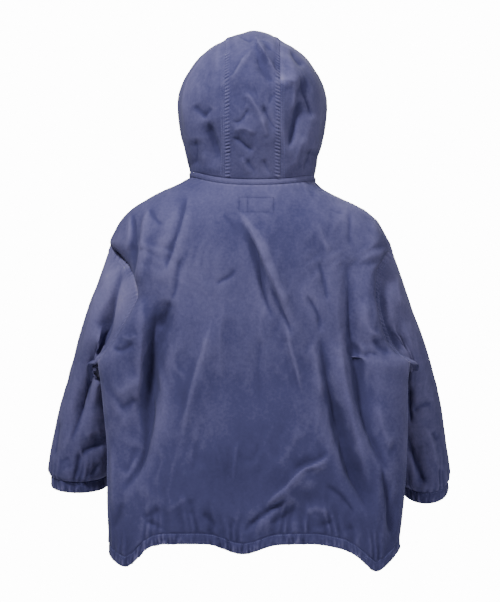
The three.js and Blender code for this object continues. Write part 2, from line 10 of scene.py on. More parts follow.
import bpy
import numpy as np
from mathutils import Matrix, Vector


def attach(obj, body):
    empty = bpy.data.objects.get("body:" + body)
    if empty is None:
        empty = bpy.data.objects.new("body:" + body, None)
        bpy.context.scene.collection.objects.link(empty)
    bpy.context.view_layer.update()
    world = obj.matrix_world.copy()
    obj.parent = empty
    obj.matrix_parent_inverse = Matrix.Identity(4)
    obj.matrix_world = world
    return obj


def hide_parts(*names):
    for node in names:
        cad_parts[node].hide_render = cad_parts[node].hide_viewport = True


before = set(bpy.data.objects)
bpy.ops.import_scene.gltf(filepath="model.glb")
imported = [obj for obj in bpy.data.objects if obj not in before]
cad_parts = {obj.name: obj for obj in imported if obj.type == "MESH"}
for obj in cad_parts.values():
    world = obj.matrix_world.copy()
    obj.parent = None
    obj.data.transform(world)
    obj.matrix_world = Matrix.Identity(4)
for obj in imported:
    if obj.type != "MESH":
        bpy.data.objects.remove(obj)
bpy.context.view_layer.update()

MM = 0.001
ALL_SIDES = ("top", "bottom", "left", "right")
CLOTH = 1.0 * MM  # thickness of one layer of twill as it shows at an edge
CASING = 2.6 * MM  # and of a casing, which is folded double round its elastic
ALLOWANCE = 1.6 * MM  # cloth that goes on under the next piece at a seam
EYE = Vector((-0.0049, -4.5, -0.2223))  # the camera's place
SEED = 20


# Small maths


def ease(s):
    s = np.clip(s, 0, 1)
    return s * s * (3 - 2 * s)


def unit(v):
    return v / np.maximum(np.linalg.norm(v, axis=-1, keepdims=True), 1e-12)


def spline(count, per, round_=False, straight=False):
    """Weights that draw a smooth curve through count points, or the straight lines between them,
    with per steps from each to the next."""
    spans = count if round_ else count - 1
    rows = np.zeros((spans * per + (0 if round_ else 1), count))
    for k in range(len(rows)):
        i, s = divmod(k, per)
        s /= per
        if not round_ and i == spans:
            i, s = spans - 1, 1.0
        weights = (0, 1 - s, s, 0) if straight else (
            (-s + 2 * s**2 - s**3) / 2,
            (2 - 5 * s**2 + 3 * s**3) / 2,
            (s + 4 * s**2 - 3 * s**3) / 2,
            (s**3 - s**2) / 2,
        )
        for step, w in zip((-1, 0, 1, 2), weights):
            j = i + step
            if round_:
                rows[k, j % count] += w
            elif j < 0:
                rows[k, 0] += 2 * w
                rows[k, 1] -= w
            elif j >= count:
                rows[k, -1] += 2 * w
                rows[k, -2] -= w
            else:
                rows[k, j] += w
    return rows


random = np.random.default_rng(SEED)
LATTICE = 64
GRADIENTS = unit(random.normal(size=(LATTICE, LATTICE, LATTICE, 3)))


def noise(points, size, shift=0.0):
    """Smooth noise from about -1 to 1, with lumps of the given size (one number or three)."""
    p = points / np.asarray(size) + shift
    cell = np.floor(p).astype(int)
    f = p - cell
    w = f * f * f * (f * (6 * f - 15) + 10)
    total = np.zeros(points.shape[:-1])
    for corner in np.ndindex(2, 2, 2):
        c = np.array(corner)
        g = GRADIENTS[tuple(np.moveaxis((cell + c) % LATTICE, -1, 0))]
        share = np.prod(np.where(c, w, 1 - w), axis=-1)
        total += share * np.sum(g * (f - c), axis=-1)
    return total * 1.6


# Reading a piece's outer face from its solid


def welded(node):
    """The corners and triangles of a solid, with each corner once."""
    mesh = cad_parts[node].data
    mesh.calc_loop_triangles()
    points = np.array([v.co for v in mesh.vertices], float)
    triangles = np.array([t.vertices for t in mesh.loop_triangles])
    keys = np.round(points / (0.01 * MM)).astype(int)
    _, first, place = np.unique(keys, axis=0, return_index=True, return_inverse=True)
    return points[first], place.reshape(-1)[triangles]


# The two layers of a wall are parted at its rims. There a triangle has an edge shorter than the
# first number (mm), between two points whose normals have a dot product less than the second. A
# step from one triangle to the next must also not turn more than the third, a dot product, allows.
PARTING = {"hood_side_left": (3.0, -0.1, -0.1), "hood_side_right": (0.0, 0.0, 0.743)}
USUAL_PARTING = (7.0, 0.3, -1.1)


def outer_face(points, triangles, middle, parting):
    """The triangles of the layer that faces away from the hollow."""
    limit, opposed, turn = parting
    corners = points[triangles]
    normal = np.cross(corners[:, 1] - corners[:, 0], corners[:, 2] - corners[:, 0])
    lean = np.zeros_like(points)
    for k in range(3):
        np.add.at(lean, triangles[:, k], normal)
    lean = unit(lean)
    rim = np.zeros(len(triangles), bool)
    for k in range(3):
        start, end = triangles[:, k], triangles[:, (k + 1) % 3]
        length = np.linalg.norm(points[end] - points[start], axis=1)
        rim |= (length < limit * MM) & (np.sum(lean[start] * lean[end], axis=1) < opposed)
    outwards = np.sum(normal * (corners.mean(axis=1) - middle), axis=1)
    normal = unit(normal)
    across = {}
    for t, (a, b, c) in enumerate(triangles.tolist()):
        across[a, b] = across[b, c] = across[c, a] = t
    tried = set(np.flatnonzero(rim).tolist())
    for first in np.argsort(-outwards).tolist():
        if first in tried:
            continue
        found, front = {first}, [first]
        while front:
            t = front.pop()
            a, b, c = triangles[t].tolist()
            for edge in ((b, a), (c, b), (a, c)):
                n = across[edge]
                if n not in found and not rim[n] and normal[t] @ normal[n] > turn:
                    found.add(n)
                    front.append(n)
        tried |= found
        # a triangle with two neighbours in the layer belongs to it, however short its edge
        beside = np.array([[across[b, a] in found for a, b in zip(t, np.roll(t, -1))] for t in triangles])
        found |= set(np.flatnonzero(beside.sum(axis=1) > 1).tolist())
        if outwards[sorted(found)].sum() > 0:
            return triangles[sorted(found)]
    raise ValueError("no layer faces outwards")


MOST_POINTS = 2000  # more points than any row or column has


def read_grid(node, middle, towards, round_=False):
    """The outer face's points as rows and columns. Seen from outside the rows run down and the
    columns to the right, from the corner (or on a tube the rim) that lies furthest in `towards`."""
    points, triangles = welded(node)
    face = outer_face(points, triangles, np.array(middle), PARTING.get(node, USUAL_PARTING))
    third = {}
    for a, b, c in face.tolist():
        third[a, b], third[b, c], third[c, a] = c, a, b
    before = {b: a for a, b in third if (b, a) not in third}
    count = np.bincount(face.reshape(-1), minlength=len(points))
    reach = points @ np.array(towards, float)
    if round_:
        start = max(before, key=lambda v: reach[v])
        row = [start]
        while before[row[-1]] != start and len(row) < MOST_POINTS:
            row.append(before[row[-1]])
    else:
        start = max((v for v in before if count[v] == 2), key=lambda v: reach[v])
        row = [start]
        while count[row[-1]] != 1 and len(row) < MOST_POINTS:
            row.append(before[row[-1]])
    rows = [row]
    while (row[1], row[0]) in third and len(rows) < MOST_POINTS:
        below = [third.get((d, a)) for a, d in zip(row, row[1:])]
        first = third[row[0], row[-1]] if round_ else third[below[0], row[0]]
        row = [first, *below]
        rows.append(row)
    return points[np.array(rows)]


# A piece of cloth as a fine grid


def along(points, axis):
    """Distance run along the grid's rows or columns, from its first point."""
    steps = np.linalg.norm(np.diff(points, axis=axis), axis=2)
    zero = np.zeros_like(np.take(steps, [0], axis=axis))
    return np.concatenate([zero, np.cumsum(steps, axis=axis)], axis=axis)


def from_ends(count):
    """How many steps each place in a row is from the nearer end."""
    return np.minimum(np.arange(count), np.arange(count)[::-1])


MOST_EVENED = 12 * MM  # further off its solid no evened point moves


def even_rows(solid, first, last, rounds=14):
    """Draws the rows from first to last into one slope, but not near the piece's side edges."""
    coarse = solid.copy()
    inner = ease(from_ends(coarse.shape[1]) / 4)[None, :, None]
    for _ in range(rounds):
        between = (coarse[first - 1 : last - 1] + coarse[first + 1 : last + 1]) / 2
        coarse[first:last] += (between - coarse[first:last]) * 0.7 * inner
    moved = coarse - solid
    length = np.linalg.norm(moved, axis=-1, keepdims=True)
    return solid + moved * np.minimum(1, MOST_EVENED / np.maximum(length, 1e-9))


SEWN = 3 * MM  # the cloth this close to a seam stays on it
MOST_BULGE = 3 * MM  # a curve through uneven steps swings out further than this at the underarm


class Cloth:
    """A cut piece: its points in rows and columns, how far each is from its edges, and its looks."""

    def __init__(self, node, middle, towards, per, round_=False, evened=None):
        coarse = read_grid(node, middle, towards, round_)
        if evened:
            coarse = even_rows(coarse, *evened)
        self.node, self.round = node, round_
        self.sides = ("top", "bottom") if round_ else ALL_SIDES
        self.rest = self.fine(coarse, per)
        self.p = self.rest.copy()
        self.per = per
        self.measure()

    def fine(self, coarse, per):
        """The smooth surface through the coarse points, kept within MOST_BULGE of the flat cells,
        and straight from point to point along its seams, where it meets the next piece."""
        smooth, flat = (
            np.einsum(
                "ia,abk,jb->ijk",
                spline(coarse.shape[0], per[0], straight=straight),
                coarse,
                spline(coarse.shape[1], per[1], self.round, straight),
            )
            for straight in (False, True)
        )
        bulge = np.linalg.norm(smooth - flat, axis=-1, keepdims=True)
        share = np.minimum(1, MOST_BULGE / np.maximum(bulge, 1e-9))
        inside_rows, inside_columns = (ease(from_ends(n) / step) for n, step in zip(flat.shape, per))
        share = share * inside_rows[:, None, None]
        return flat + (smooth - flat) * (share if self.round else share * inside_columns[None, :, None])

    def measure(self):
        rows, columns = self.rest.shape[:2]
        across, down = along(self.rest, 1), along(self.rest, 0)
        self.edge = {"left": across, "right": across[:, -1:] - across}
        self.edge |= {"top": down, "bottom": down[-1:] - down}
        self.run = {"left": np.repeat(down[:, :1], columns, 1), "top": np.repeat(across[:1], rows, 0)}
        self.run["right"] = np.repeat(down[:, -1:], columns, 1)
        self.run["bottom"] = np.repeat(across[-1:], rows, 0)
        # places along the piece in whole columns and rows of its solid
        self.column = np.repeat(np.arange(columns)[None] / self.per[1], rows, 0)
        self.row = np.repeat(np.arange(rows)[:, None] / self.per[0], columns, 1)

    def normals(self):
        p = self.p
        if self.round:
            right = np.roll(p, -1, 1) - np.roll(p, 1, 1)
        else:
            right = np.gradient(p, axis=1)
        return unit(np.cross(np.gradient(p, axis=0), right))

    def push(self, height, seams_too=False):
        """Moves the cloth out by a height at each point, but not where it is sewn to the next piece."""
        if not seams_too:
            for side in self.sides:
                height = height * ease(self.edge[side] / SEWN)
        self.p = self.p + self.normals() * height[..., None]

    def calm(self, least, reach):
        """How freely the cloth moves: from `least` at its edges to 1 at `reach` mm from them."""
        share = np.ones(self.rest.shape[:2])
        for side in self.sides:
            share = np.minimum(share, least + (1 - least) * ease(self.edge[side] / (reach * MM)))
        return share

    def seen(self):
        """Where each point shows in the plane of the neck, x and z, from the camera's place."""
        share = -EYE.y / (self.rest[..., 1] - EYE.y)
        x = EYE.x + (self.rest[..., 0] - EYE.x) * share
        z = EYE.z + (self.rest[..., 2] - EYE.z) * share
        return np.stack([x, z], axis=-1)


# Creases


def crease_height(seen, path, rise, left, right):
    """The height of one crease at each place. It follows a smooth line through the places of its
    path, falls away over its widths to the left and right of the way it runs, and fades at its ends."""
    line = spline(len(path), 12) @ (np.array(path, float) * MM)
    reach = 3 * max(left, right) * MM
    low, high = line.min(axis=0) - reach, line.max(axis=0) + reach
    near = np.all((seen > low) & (seen < high), axis=-1)
    height = np.zeros(seen.shape[:-1])
    if not near.any():
        return height
    q = seen[near]
    nearest = np.full(len(q), np.inf)
    turned, share = np.ones(len(q)), np.zeros(len(q))
    for k, (start, end) in enumerate(zip(line[:-1], line[1:])):
        step = end - start
        s = np.clip(((q - start) @ step) / (step @ step), 0, 1)
        off = q - start - s[:, None] * step
        distance = np.hypot(off[:, 0], off[:, 1])
        closer = distance < nearest
        nearest[closer] = distance[closer]
        turned[closer] = (step[0] * off[:, 1] - step[1] * off[:, 0])[closer]
        share[closer] = ((k + s) / (len(line) - 1))[closer]
    width = np.where(turned > 0, left, right) * MM
    fade = ease(share / 0.28) * ease((1 - share) / 0.28)
    height[near] = rise * MM * fade * np.exp(-((nearest / width) ** CREST))
    return height


CREST = 1.2  # how sharp a crease is along its line: 2 is round, 1 is an edge


# Each row: the places that a crease runs through (x, z in mm, as seen from behind in the plane of
# the neck), its rise in mm (minus for a trough) and its widths to the left and right of its way.
BACK_CREASES = [
    ([
        (-186, -216), (-190, -263), (-196, -308), (-200, -357), (-202, -400), (-206, -445),
        (-212, -486), (-219, -523), (-229, -552), (-245, -577), (-260, -593)
    ], -9.5, 14, 8),
    ([(-217, -213), (-217, -289), (-221, -367), (-231, -445)], 4.5, 10, 16),
    ([(-159, -216), (-169, -252), (-182, -281)], -5, 12, 8),
    ([(-198, -31), (-208, -72), (-214, -123), (-219, -162), (-229, -197)], 5, 14, 5),
    ([(-233, -51), (-229, -99), (-227, -150)], -4, 5, 6),
    ([(-239, -49), (-239, -92), (-245, -135)], 3.5, 4, 6),
    ([(-276, -312), (-258, -318), (-243, -312), (-229, -300)], -4.5, 6, 6),
    ([(-258, -292), (-237, -296), (-225, -287)], 3, 6, 6),
    ([(-266, -435), (-243, -425), (-219, -411)], -4.5, 12, 12),
    ([(-270, -408), (-243, -392), (-217, -369)], 3, 12, 12),
    ([(-225, -499), (-237, -532), (-253, -564)], -4.5, 8, 12),
    ([(-126, -10), (-134, -45), (-143, -80), (-153, -113), (-165, -146), (-169, -170)], -4, 4, 10),
    ([(-137, -127), (-145, -162), (-151, -201), (-161, -228)], -3.2, 5, 8),
    ([(-206, -35), (-196, -53), (-184, -68), (-169, -76)], -3, 6, 6),
    ([(-28, -45), (-11, -72), (7, -103), (26, -144), (46, -189), (61, -228), (71, -269)], 5.5, 10, 5),
    ([(67, -255), (73, -308), (85, -353), (98, -411)], 2.6, 6, 5),
    ([(-11, -84), (5, -119), (13, -154), (20, -193), (28, -226), (40, -259)], -4.2, 6, 9),
    ([(34, -189), (46, -218), (58, -244), (69, -269), (77, -294)], -3, 5, 6),
    ([(-59, -49), (-46, -66), (-28, -86)], -1.6, 6, 6),
    ([
        (-77, -259), (-89, -296), (-98, -328), (-108, -359), (-122, -411), (-132, -458),
        (-136, -501)
    ], 3, 8, 5),
    ([(-89, -298), (-102, -341), (-112, -384)], -1.8, 6, 8),
    ([(-30, -156), (-44, -174), (-61, -183), (-73, -193)], -3, 4, 5),
    ([(128, -142), (137, -172), (143, -201), (147, -226)], -2.8, 6, 5),
    ([(104, -209), (120, -232), (130, -255), (132, -285)], -3.8, 5, 6),
    ([
        (132, -279), (136, -318), (143, -361), (151, -404), (161, -443), (173, -486),
        (184, -526), (196, -566), (212, -603), (229, -642)
    ], -8.5, 12, 10),
    ([(116, -298), (128, -361), (137, -419)], 2.5, 8, 12),
    ([
        (184, -146), (188, -197), (190, -244), (192, -283), (198, -322), (206, -369),
        (212, -415), (223, -462), (237, -501), (254, -536), (276, -566)
    ], -8, 9, 9),
    ([(251, -536), (258, -575), (264, -610), (268, -649), (270, -684)], -5, 6, 5),
    ([(171, -279), (176, -357), (194, -445), (217, -532), (233, -595)], 3.5, 10, 10),
    ([(241, -415), (256, -474), (272, -517)], 3.5, 14, 12),
    ([(124, -60), (136, -99), (153, -131)], 2.6, 8, 8),
    ([(188, -41), (190, -80), (190, -123)], -2.4, 6, 6),
    ([(147, -39), (163, -47), (180, -49)], -2.2, 5, 5),
    ([(217, -213), (221, -252), (231, -283), (260, -296)], 3.4, 6, 10),
    ([(235, -291), (247, -312), (274, -324)], -5, 8, 8),
    ([(212, -333), (229, -324), (249, -330)], -3, 6, 6),
    ([(153, -519), (130, -540), (104, -550), (85, -569), (65, -591), (42, -610), (19, -626)], 7, 10, 5),
    ([(149, -513), (128, -532), (98, -544), (77, -556)], -3.5, 5, 6),
    ([(73, -604), (48, -620), (22, -636), (-1, -655), (-20, -675)], -6.5, 7, 6),
    ([(89, -616), (61, -642), (26, -663)], -4.5, 12, 12),
    ([(98, -636), (126, -628), (153, -640)], 4.5, 12, 12),
    ([(161, -647), (145, -657), (128, -665), (114, -673)], -4.5, 6, 6),
    ([(141, -579), (159, -591), (175, -604), (190, -622), (202, -640)], -3.4, 5, 5),
    ([(173, -671), (186, -667), (200, -663)], -3.2, 6, 6),
    ([(-178, -628), (-198, -638), (-217, -647)], -4.5, 6, 6),
    ([(-214, -647), (-194, -657), (-173, -667), (-143, -671)], -5, 6, 7),
    ([(-173, -636), (-149, -620), (-124, -604)], 3.5, 10, 10),
    ([(-124, -606), (-120, -624), (-122, -645)], -3.2, 8, 8),
    ([(-100, -632), (-83, -649), (-65, -671)], -4.5, 8, 8),
    ([(-28, -489), (-34, -532), (-40, -579)], 1.8, 4, 5),
    ([(-32, -649), (-48, -665)], -2.5, 8, 8),
    ([(-110, -486), (-112, -525), (-118, -560)], -2.2, 8, 8),
    ([(-274, -493), (-272, -571), (-270, -649)], 2.5, 8, 6),
    ([(-254, -610), (-262, -640), (-274, -669)], -3, 8, 8),
    ([(19, -279), (11, -357), (19, -454)], -1.6, 16, 16),
    ([(-54, -220), (-65, -298), (-59, -396)], 1.6, 16, 16),
    ([(93, -454), (73, -513), (34, -552)], 1.8, 18, 14),
]
HOOD_CREASES = [
    ([(3, 304), (11, 275), (24, 250), (42, 226), (61, 209), (77, 201), (85, 181)], 9, 18, 7),
    ([(7, 267), (17, 240), (32, 216), (52, 195)], -6, 8, 12),
    ([(-7, 267), (-19, 244), (-32, 222), (-42, 213), (-58, 209)], 4.5, 10, 4),
    ([(-32, 283), (-48, 267), (-50, 244), (-48, 222)], -5.5, 10, 8),
    ([(-1, 271), (-9, 252), (-20, 234)], 2.2, 5, 4),
    ([(-59, 287), (-65, 267), (-67, 244), (-65, 213)], 3.5, 4, 6),
    ([(-59, 213), (-58, 179), (-54, 140), (-52, 111)], -2.6, 5, 5),
    ([(-61, 285), (-91, 255), (-116, 218), (-128, 185), (-132, 150), (-130, 107)], 3, 10, 4),
    ([(-116, 162), (-102, 146), (-89, 135)], -5, 8, 8),
    ([(-77, 156), (-89, 144), (-98, 133)], -3.5, 6, 6),
    ([(-89, 133), (-79, 99), (-67, 68), (-58, 33)], -6, 7, 16),
    ([(-114, 99), (-112, 62), (-114, 25)], -6, 14, 10),
    ([(-28, 174), (-7, 176), (7, 156), (19, 131), (30, 103)], 3.2, 10, 10),
    ([(-42, 129), (-26, 127), (-13, 142), (-7, 156)], -3.6, 6, 6),
    ([(-44, 96), (-26, 90), (-9, 76), (5, 70)], -4, 7, 6),
    ([(-42, 109), (-17, 115), (9, 103)], 3.2, 8, 8),
    ([(20, 164), (28, 142), (40, 121), (56, 101)], -5.5, 5, 8),
    ([(17, 138), (24, 115), (30, 96)], 2.2, 4, 6),
    ([(91, 174), (87, 146), (81, 119), (75, 94), (67, 66)], -6, 8, 6),
    ([(83, 209), (81, 177), (79, 142)], 3.5, 5, 4),
    ([(61, 273), (73, 244), (81, 216), (85, 193)], 1.5, 8, 10),
    ([(71, 271), (85, 248), (100, 234)], -4.5, 6, 6),
    ([(89, 216), (100, 187), (112, 154), (120, 131)], -4.8, 8, 7),
    ([(116, 80), (110, 49), (91, 18)], -6.5, 12, 12),
    ([(102, 105), (89, 68), (73, 29)], 3.2, 10, 10),
    ([(-13, 57), (-3, 39), (7, 20)], -3.2, 6, 6),
    ([(-22, 60), (-13, 37), (-5, 20)], 2.4, 6, 6),
    ([(19, 57), (28, 37), (40, 20)], -2.8, 6, 6),
    ([(30, 154), (38, 176), (50, 183)], -2.2, 6, 6),
    ([(-32, 296), (-13, 289), (5, 285)], -4.5, 8, 8),
    ([(22, 275), (40, 263), (59, 254)], -4, 8, 8),
    ([(19, 201), (11, 170), (-1, 185)], 1.8, 10, 10),
    ([(-93, 72), (-97, 43), (-93, 18)], 2.5, 10, 10),
]
SLEEVE_CREASES = {
    "sleeve_left": [
        ([
            (-254, -138), (-260, -174), (-272, -220), (-282, -263), (-293, -308), (-303, -337),
            (-313, -370), (-327, -410), (-338, -445), (-348, -478), (-356, -501)
        ], -9.5, 8, 10),
        ([(-340, -431), (-348, -464), (-360, -493), (-371, -523)], 2.5, 6, 10),
        ([(-336, -519), (-325, -515), (-309, -507), (-286, -499)], -5.5, 8, 6),
        ([(-329, -486), (-309, -478), (-292, -474)], 4, 10, 10),
        ([(-295, -534), (-307, -552), (-321, -569)], -4.5, 5, 5),
        ([(-336, -513), (-340, -548), (-342, -595)], -5.5, 6, 6),
        ([(-375, -445), (-381, -489), (-387, -532)], -3.5, 5, 5),
        ([(-379, -536), (-368, -534), (-356, -525)], -3, 6, 6),
        ([(-364, -544), (-358, -564), (-356, -583)], 3.5, 10, 10),
        ([(-297, -181), (-313, -255), (-336, -341)], 2.5, 12, 12),
        ([(-356, -357), (-371, -425)], -2, 8, 8),
        ([(-294, -262), (-299, -310), (-303, -350), (-308, -435)], 12, 10, 10),
    ],
    "sleeve_right": [
        ([(245, -181), (253, -226), (264, -269), (282, -302), (297, -326)], -6.5, 10, 6),
        ([(278, -166), (284, -201), (290, -236)], 3, 6, 5),
        ([(309, -441), (329, -429), (354, -417)], -5.5, 10, 10),
        ([(305, -382), (303, -423), (309, -468)], -6.5, 8, 6),
        ([(301, -474), (307, -507), (317, -536), (329, -564), (338, -589)], -6, 6, 6),
        ([(366, -544), (368, -567), (371, -587)], -4.5, 5, 5),
        ([(348, -476), (362, -495)], -4.5, 8, 8),
        ([(334, -462), (350, -501), (358, -548)], 3.5, 8, 8),
        ([(350, -279), (362, -347), (370, -406)], 2.5, 10, 10),
        ([(295, -259), (311, -318), (323, -376)], 2.2, 10, 12),
        ([(321, -581), (329, -567), (342, -579)], -3, 6, 6),
    ],
}
# The same for the front, in x as seen from in front but with +x still the wearer's right.
FRONT_CREASES = [
    ([(20, -110), (-30, -170), (-60, -260), (-70, -340)], 5.0, 14, 20),
    ([(60, -120), (90, -210), (120, -330), (128, -420)], -5.0, 16, 16),
    ([(150, -80), (176, -170), (190, -300), (202, -420)], -7.0, 14, 18),
    ([(-150, -90), (-178, -190), (-196, -330), (-206, -450)], -7.0, 16, 14),
    ([(-100, -140), (-116, -230), (-112, -330)], -4.0, 16, 14),
    ([(210, -60), (224, -120), (238, -190)], 4.0, 14, 12),
    ([(-205, -70), (-216, -130), (-232, -200)], 4.0, 12, 14),
    ([(30, -300), (10, -400), (22, -520), (10, -600)], 4.5, 18, 14),
    ([(-150, -470), (-110, -560), (-40, -640)], -5.0, 14, 14),
    ([(-170, -450), (-130, -540), (-70, -610)], 4.5, 12, 14),
    ([(210, -500), (190, -580), (196, -660)], -5.0, 12, 14),
    ([(-226, -520), (-222, -600), (-234, -668)], -5.0, 12, 12),
    ([(90, -560), (130, -610), (140, -664)], -3.5, 12, 10),
    ([(60, -640), (110, -656)], -3.0, 10, 10),
    ([(-20, -230), (-6, -280), (4, -350)], -3.0, 12, 14),
    ([(-306, -315), (-304, -350), (-302, -390), (-301, -440)], 11, 14, 14),
]


SHORTEST, PER_LENGTH = 0.25, 1 / 240  # a crease's share of its full rise, and more for each mm of it


def creased(cloth, creases, strength, facing=None):
    """Adds creases where the cloth faces one way along Y, or everywhere. The short ones are shallow."""
    seen = cloth.seen()
    height = np.zeros(seen.shape[:-1])
    for path, rise, left, right in creases:
        length = np.linalg.norm(np.diff(path, axis=0), axis=1).sum()
        share = min(1, SHORTEST + length * PER_LENGTH)
        height += crease_height(seen, path, share * strength * rise, left, right)
    if facing is not None:
        height = height * ease(0.5 + 2.5 * facing * cloth.normals()[..., 1])
    cloth.push(height * cloth.calm(0.04, 28))


def crumpled(cloth, amount=1.0):
    """Soft uneven dents all over, longer down the cloth than across it, with small ones on top."""
    p = cloth.rest
    warp = np.stack([noise(p, 90 * MM, s) for s in (3.1, 7.7, 11.3)], axis=-1) * 14 * MM
    broad = noise(p + warp, np.array([62, 62, 120]) * MM, 5.0)
    lines = 1 - 2.2 * np.abs(noise(p + warp * 1.4, np.array([34, 34, 76]) * MM, 9.0))
    small = noise(p + warp, np.array([15, 15, 24]) * MM, 2.0)
    patchy = ease(0.5 + 0.9 * noise(p, 110 * MM, 17.0))
    height = 1.6 * broad + 0.85 * np.maximum(lines, 0) * patchy + 0.3 * small * (0.4 + patchy)
    cloth.push(amount * MM * height * cloth.calm(0.2, 16))


def puckered(cloth, side, rise=0.8, pitch=11, reach=15, only=None):
    """Ripples that a stitched seam draws up beside itself, uneven in size and spacing."""
    run, away = cloth.run[side], cloth.edge[side]
    spot = np.stack([run, away * 0.25, run * 0 + len(cloth.node) * 0.1], axis=-1)
    phase = run / (pitch * MM) * 2 * math.pi + 5.0 * noise(spot, 45 * MM)
    uneven = 0.45 + 0.55 * ease(0.5 + noise(spot, 30 * MM, 4.0))
    band = np.exp(-away / (reach * MM)) * ease(0.25 + away / (3 * MM))
    height = rise * MM * np.sin(phase) * uneven * band
    if only is not None:
        height = height * only(cloth)
    cloth.push(height)


def laddered(cloth, side, width=11, rise=1.15, pitch=6.8):
    """The rungs that two rows of stitching draw up in the folded allowance between them."""
    run, away = cloth.run[side], cloth.edge[side]
    spot = np.stack([run, run * 0, run * 0 + len(cloth.node) * 0.37], axis=-1)
    phase = run / (pitch * MM) * 2 * math.pi + 2.4 * noise(spot, 38 * MM) + 1.44 * away / (width * MM)
    uneven = 0.45 + 0.55 * ease(0.5 + 1.4 * noise(spot, 21 * MM, 4.0))
    within = ease(away / (2.2 * MM)) * ease((width * MM - away) / (2.2 * MM))
    cloth.push(rise * MM * np.sin(phase) * uneven * within)


def felled(cloth, side, width=9, rise=0.7):
    """The raised fold of a felled seam along one edge, and the groove at the seam itself."""
    away = cloth.edge[side]
    height = rise * ease((width * MM - away) / (2 * MM)) - 0.8 * np.exp(-away / (1.2 * MM))
    cloth.push(height * MM)


def groove(cloth, *sides, depth=0.7, width=1.6):
    """The hollow that the cloth draws down into at each of these seams."""
    for side in sides:
        cloth.push(-depth * MM * np.exp(-((cloth.edge[side] / (width * MM)) ** 2)), seams_too=True)


def gathered(cloth, side, rise, reach):
    """Gathers that run out of a casing into the cloth beside it, about one to a column of its solid."""
    away = cloth.edge[side]
    spot = np.stack([cloth.column * 0.02, away, away * 0], axis=-1)
    turn = 2 * math.pi * cloth.column + 7 * noise(spot, np.array([0.04, 0.09, 1]), 5.0)
    uneven = 0.25 + 0.75 * ease(0.5 + 1.4 * noise(spot, np.array([0.05, 0.05, 1]), 8.0))
    length = reach * MM * (0.6 + 0.8 * ease(0.5 + noise(spot, np.array([0.03, 1, 1]), 3.0)))
    cloth.push(rise * MM * np.sin(turn + 0.9) * uneven * np.exp(-away / length))


# Shells


TURNED_IN = 0.7  # how steeply the strips that go under the next piece lead inwards


def at_side(values, side, step=0):
    """A grid's row or column at one side, or the given steps in from it."""
    place = -1 - step if side in ("bottom", "right") else step
    return np.take(values, [place], axis=0 if side in ("top", "bottom") else 1)


def widened(values, side, extra):
    """The grid with one more row or column past one side."""
    both = [values, extra] if side in ("bottom", "right") else [extra, values]
    return np.concatenate(both, axis=0 if side in ("top", "bottom") else 1)


def under_next(p, normal, sides):
    """Adds a narrow strip past each named edge, turned a little in, that goes under the next piece."""
    for side in sides:
        edge, n = at_side(p, side), at_side(normal, side)
        past = edge + unit(edge - at_side(p, side, 1)) * ALLOWANCE - n * ALLOWANCE * TURNED_IN
        p, normal = widened(p, side, past), widened(normal, side, n)
    return p, normal


def padded_like(values, sides):
    """The same extra rows and columns for a value that belongs to each point."""
    for side in sides:
        values = widened(values, side, at_side(values, side))
    return values


MOST_WEAR_AND_SHADE = 2.0  # the sharpest folds get no paler, and their hollows no darker with painted shade, than this


def ridge_wear_and_hollow_shade(cloth):
    """How much each point stands out of the cloth round it (rubbed pale by use) or lies in it (darkened with
    painted shade).
    """
    normal = cloth.normals()
    total = np.zeros(cloth.p.shape[:2])
    for reach, weight in ((2, 1.0), (5, 0.5)):
        p = cloth.p
        if cloth.round:
            sides = np.roll(p, reach, 1) + np.roll(p, -reach, 1)
        else:
            wide = np.pad(p, ((0, 0), (reach, reach), (0, 0)), mode="edge")
            sides = wide[:, : -2 * reach] + wide[:, 2 * reach :]
        tall = np.pad(p, ((reach, reach), (0, 0), (0, 0)), mode="edge")
        ends = tall[: -2 * reach] + tall[2 * reach :]
        bulge = np.sum((p - (sides + ends) / 4) * normal, axis=-1) / MM
        bulge[:reach] = bulge[reach]
        bulge[-reach:] = bulge[-reach - 1]
        if not cloth.round:
            bulge[:, :reach] = bulge[:, reach : reach + 1]
            bulge[:, -reach:] = bulge[:, -reach - 1 : -reach]
        total += weight * bulge
    return MOST_WEAR_AND_SHADE * np.tanh(total / MOST_WEAR_AND_SHADE)


